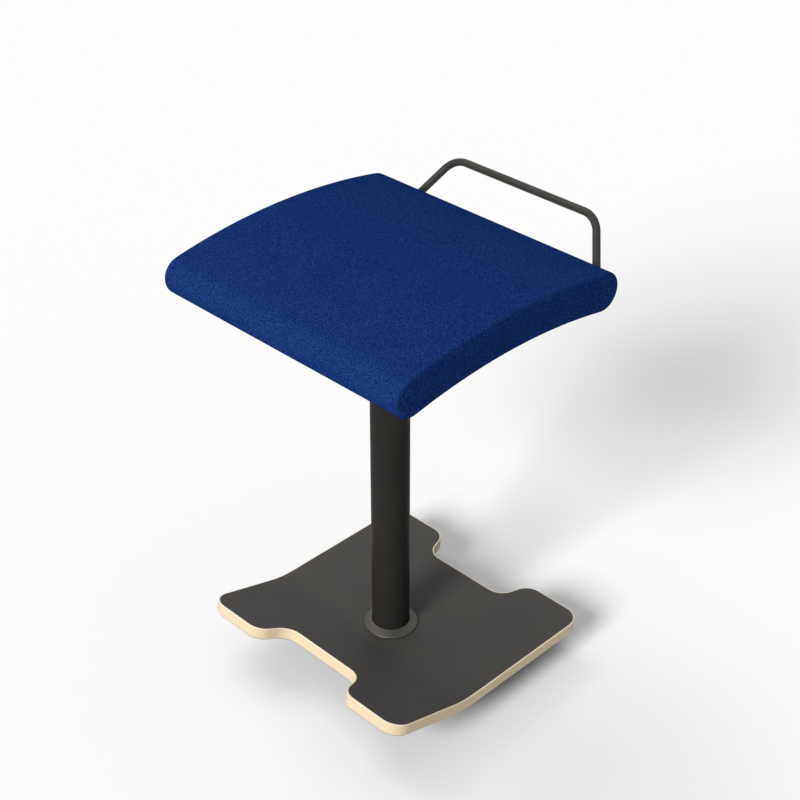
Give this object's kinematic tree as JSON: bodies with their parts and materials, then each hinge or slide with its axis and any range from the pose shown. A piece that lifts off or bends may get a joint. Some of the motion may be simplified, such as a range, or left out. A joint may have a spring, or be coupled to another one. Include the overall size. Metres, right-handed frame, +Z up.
{
  "type": "perch stool",
  "caption": "Perch stool: a saddle-curved upholstered seat with a wire handle on a gas lift column, over a bent plywood footplate that rocks on a round rubber foot.",
  "frame": {"origin": "on the floor, on the column's axis, at the centre of the foot's flat underside", "axes": "+Z up the column, +Y towards the wire handle, -Y towards the raised front of the footplate, +X towards the release lever"},
  "size_m": [0.386, 0.4191, 0.6266],
  "materials": {
    "rubber": "moulded, matte",
    "plywood": "clear lacquered birch plywood, edges rounded and oiled",
    "laminate": "fine-textured matte high pressure laminate",
    "black_steel": "satin black powder coat",
    "collar": "satin dark grey powder coat",
    "zinc": "zinc plated",
    "chrome": "ground and hard chromed",
    "black_plastic": "moulded, fine grain",
    "foam": "open-cell polyurethane foam",
    "blue_fabric": "fine woven wool blend, royal blue",
    "black_cloth": "non-woven lining cloth"
  },
  "bodies": {
    "base": {"base_flange": "black_steel", "flange_screw_1": "zinc", "flange_screw_2": "zinc", "flange_screw_3": "zinc", "flange_screw_4": "zinc", "flange_screw_5": "zinc", "flange_screw_6": "zinc", "footplate_core": "plywood", "footplate_top_laminate": "laminate", "footplate_bottom_laminate": "laminate", "column_tube": "black_steel", "column_collar": "collar", "column_end_plate": "black_steel", "guide_sleeve": "black_plastic", "bearing_lower_race": "zinc"},
    "adjuster": {"adjuster_nut": "black_plastic", "adjuster_circlip": "zinc"},
    "foot": {"foot_pad": "rubber", "foot_core": "zinc", "foot_stud": "zinc"},
    "lift_rod": {"bearing_upper_race": "zinc", "bearing_balls": "chrome", "bump_stop": "rubber", "rod_washer": "zinc", "piston_rod": "chrome", "rod_clip": "zinc", "piston": "zinc"},
    "seat": {"gas_cylinder": "black_steel", "cylinder_gland": "black_plastic", "valve_body": "zinc", "mechanism_plate": "black_steel", "lever_channel": "black_steel", "taper_socket": "black_steel", "lever_pivot_pin": "zinc", "seat_board": "plywood", "underside_cloth": "black_cloth", "seat_bolt_1": "zinc", "seat_bolt_2": "zinc", "seat_bolt_3": "zinc", "seat_bolt_4": "zinc", "tee_nut_1": "zinc", "tee_nut_2": "zinc", "tee_nut_3": "zinc", "tee_nut_4": "zinc", "seat_foam": "foam", "seat_cover": "blue_fabric", "seat_handle": "black_steel", "handle_screw_1": "zinc", "handle_screw_2": "zinc", "handle_screw_3": "zinc", "handle_screw_4": "zinc"},
    "lever": {"release_lever": "black_steel", "lever_grip": "black_plastic"},
    "pin": {"release_pin": "chrome"}
  },
  "joints": [
    {"name": "seat_swivel", "type": "hinge", "parent": "base", "child": "lift_rod", "pos_m": [0, 0, 0.0707], "axis": [0, 0, 1], "continuous": true},
    {"name": "seat_height", "type": "slide", "parent": "lift_rod", "child": "seat", "axis": [0, 0, 1], "range_m": [0, 0.2]},
    {"name": "release_lever_pull", "type": "hinge", "parent": "seat", "child": "lever", "pos_m": [0.036, 0, 0.5504], "axis": [0, -1, 0], "range_deg": [0, 6], "stiffness_Nm_per_rad": 4, "springref_deg": -2.86},
    {"name": "release_pin_press", "type": "slide", "parent": "seat", "child": "pin", "axis": [0, 0, -1], "range_m": [0, 0.004]},
    {"name": "adjuster_turn", "type": "hinge", "parent": "base", "child": "adjuster", "pos_m": [0, 0, 0.032], "axis": [0, 0, 1], "range_deg": [0, 1440]},
    {"name": "foot_height", "type": "slide", "parent": "base", "child": "foot", "axis": [0, 0, -1], "range_m": [0, 0.008]}
  ],
  "couplings": [
    {"joint": "release_pin_press", "follows": "release_lever_pull", "m_per_rad": 0.036},
    {"joint": "adjuster_turn", "follows": "foot_height", "rad_per_m": 3141.6}
  ]
}
